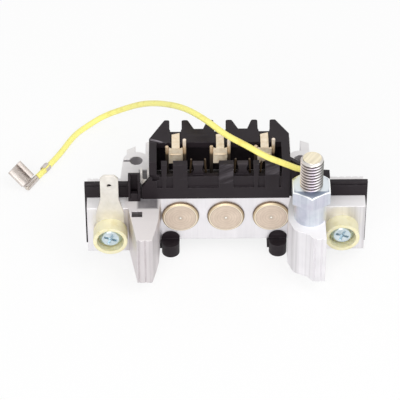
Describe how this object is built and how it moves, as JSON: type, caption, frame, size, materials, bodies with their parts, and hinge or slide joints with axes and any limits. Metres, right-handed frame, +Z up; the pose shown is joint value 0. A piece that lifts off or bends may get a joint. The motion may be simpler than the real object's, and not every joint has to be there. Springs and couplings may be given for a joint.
{
  "type": "alternator rectifier",
  "caption": "Alternator rectifier pack: press-fit diodes in two insulated aluminium heatsinks, black terminal housing, output stud, blade and a lead with flag receptacle",
  "frame": {"origin": "midway between the two fixing holes, on the seating plane under the rear heatsink", "axes": "+X along the pack towards the output stud, +Y from the diode faces to the fins, +Z up along the stud"},
  "size_m": [0.1283, 0.0929, 0.0517],
  "materials": {
    "front_heatsink": "extruded, bright cut ends, fine draw lines",
    "rear_heatsink": "extruded, slightly duller",
    "heatsink_insulator": "moulded black, satin",
    "terminal_housing": "moulded black, satin",
    "positive_diode_1": "nickel plated, turned rings",
    "positive_diode_2": "nickel plated, turned rings",
    "positive_diode_3": "nickel plated, turned rings",
    "negative_diode_1": "nickel plated, turned rings",
    "negative_diode_2": "nickel plated, turned rings",
    "negative_diode_3": "nickel plated, turned rings",
    "phase_terminal_1": "tinned",
    "phase_terminal_2": "tinned",
    "phase_terminal_3": "tinned",
    "trio_diode_1": "moulded body",
    "trio_diode_2": "moulded body",
    "trio_diode_3": "moulded body",
    "link_strip": "tinned",
    "output_stud": "zinc plated, bluish",
    "blade_terminal": "tinned",
    "bush_left": "nylon, cream",
    "bush_right": "nylon, cream",
    "clamp_screws": "zinc plated, bluish",
    "lead_wire": "smooth insulation",
    "lead_core": "bare strands",
    "flag_terminal": "tinned"
  },
  "bodies": {
    "root": {"front_heatsink": "front_heatsink", "rear_heatsink": "rear_heatsink", "heatsink_insulator": "heatsink_insulator", "terminal_housing": "terminal_housing", "positive_diode_1": "positive_diode_1", "positive_diode_2": "positive_diode_2", "positive_diode_3": "positive_diode_3", "negative_diode_1": "negative_diode_1", "negative_diode_2": "negative_diode_2", "negative_diode_3": "negative_diode_3", "phase_terminal_1": "phase_terminal_1", "phase_terminal_2": "phase_terminal_2", "phase_terminal_3": "phase_terminal_3", "trio_diode_1": "trio_diode_1", "trio_diode_2": "trio_diode_2", "trio_diode_3": "trio_diode_3", "link_strip": "link_strip", "output_stud": "output_stud", "blade_terminal": "blade_terminal", "bush_left": "bush_left", "bush_right": "bush_right", "clamp_screws": "clamp_screws", "lead_wire": "lead_wire", "lead_core": "lead_core", "flag_terminal": "flag_terminal"}
  },
  "joints": []
}
